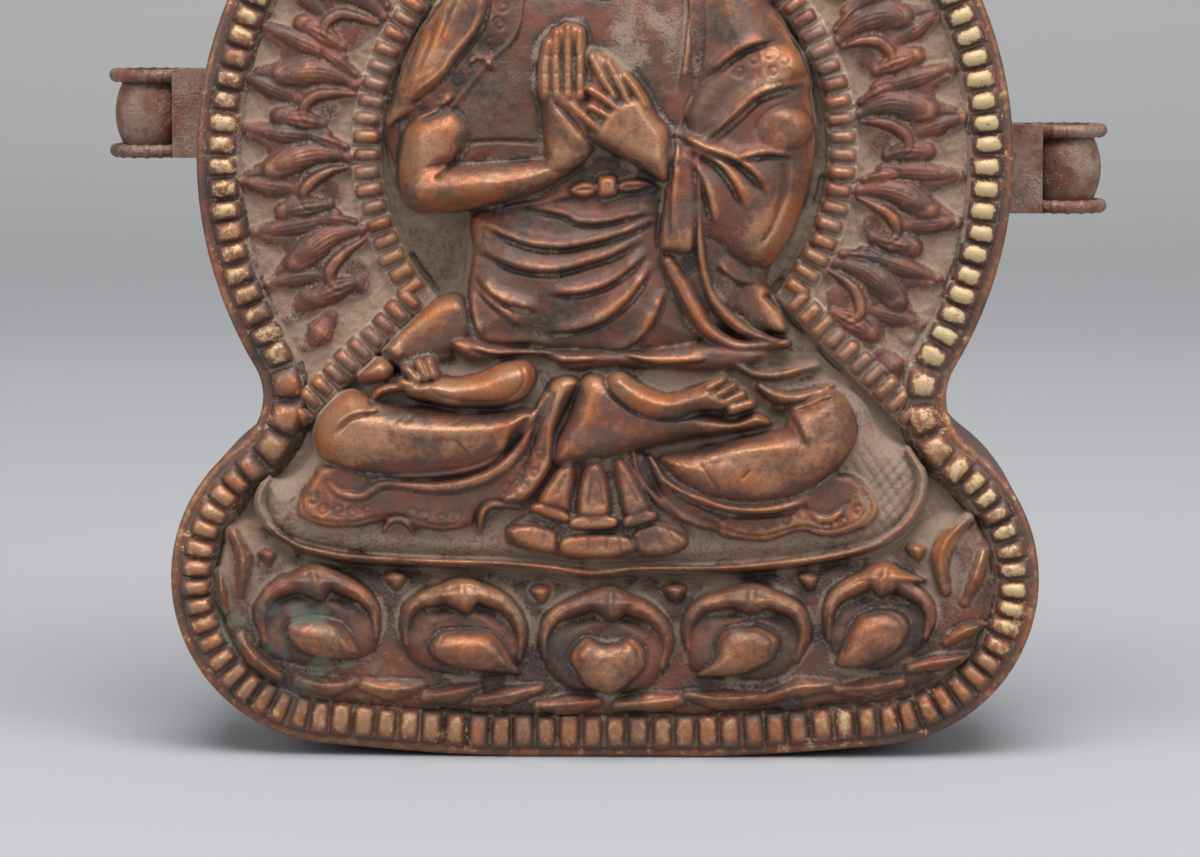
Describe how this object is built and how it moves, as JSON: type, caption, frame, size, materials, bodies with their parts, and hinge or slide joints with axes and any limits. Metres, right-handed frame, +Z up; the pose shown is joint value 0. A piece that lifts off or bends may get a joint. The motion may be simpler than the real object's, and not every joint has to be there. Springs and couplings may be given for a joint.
{
  "type": "ghau amulet box",
  "caption": "Keyhole-shaped metal amulet box: repousse front with a seated figure on a lotus throne, beaded borders, side strap loops and a slide-off cover.",
  "frame": {"origin": "on the foot, under the middle of the width and of the depth", "axes": "+Z up from the foot to the tip, the relief front faces -Y, +X to the viewer's right"},
  "size_m": [0.1288, 0.0372, 0.1325],
  "materials": {
    "copper_sheet": "aged",
    "copper_relief": "aged",
    "worn_gilt_beads": "worn"
  },
  "bodies": {
    "tray": {"back_plate": "copper_sheet", "tray_wall": "copper_sheet", "tray_collar": "copper_sheet", "left_loop_saddle": "copper_sheet", "left_loop_barrel": "copper_sheet", "left_loop_upper_rim": "copper_sheet", "left_loop_lower_rim": "copper_sheet", "right_loop_saddle": "copper_sheet", "right_loop_barrel": "copper_sheet", "right_loop_upper_rim": "copper_sheet", "right_loop_lower_rim": "copper_sheet"},
    "cover": {"cover_skirt": "copper_sheet", "face_frame": "copper_relief", "outer_bead_border": "worn_gilt_beads", "inner_bead_border": "copper_relief", "figure_plaque": "copper_relief", "plaque_clips": "copper_sheet"}
  },
  "joints": [
    {"name": "cover_slide", "type": "slide", "parent": "tray", "child": "cover", "axis": [0, -1, 0], "range_m": [0, 0.03]}
  ]
}
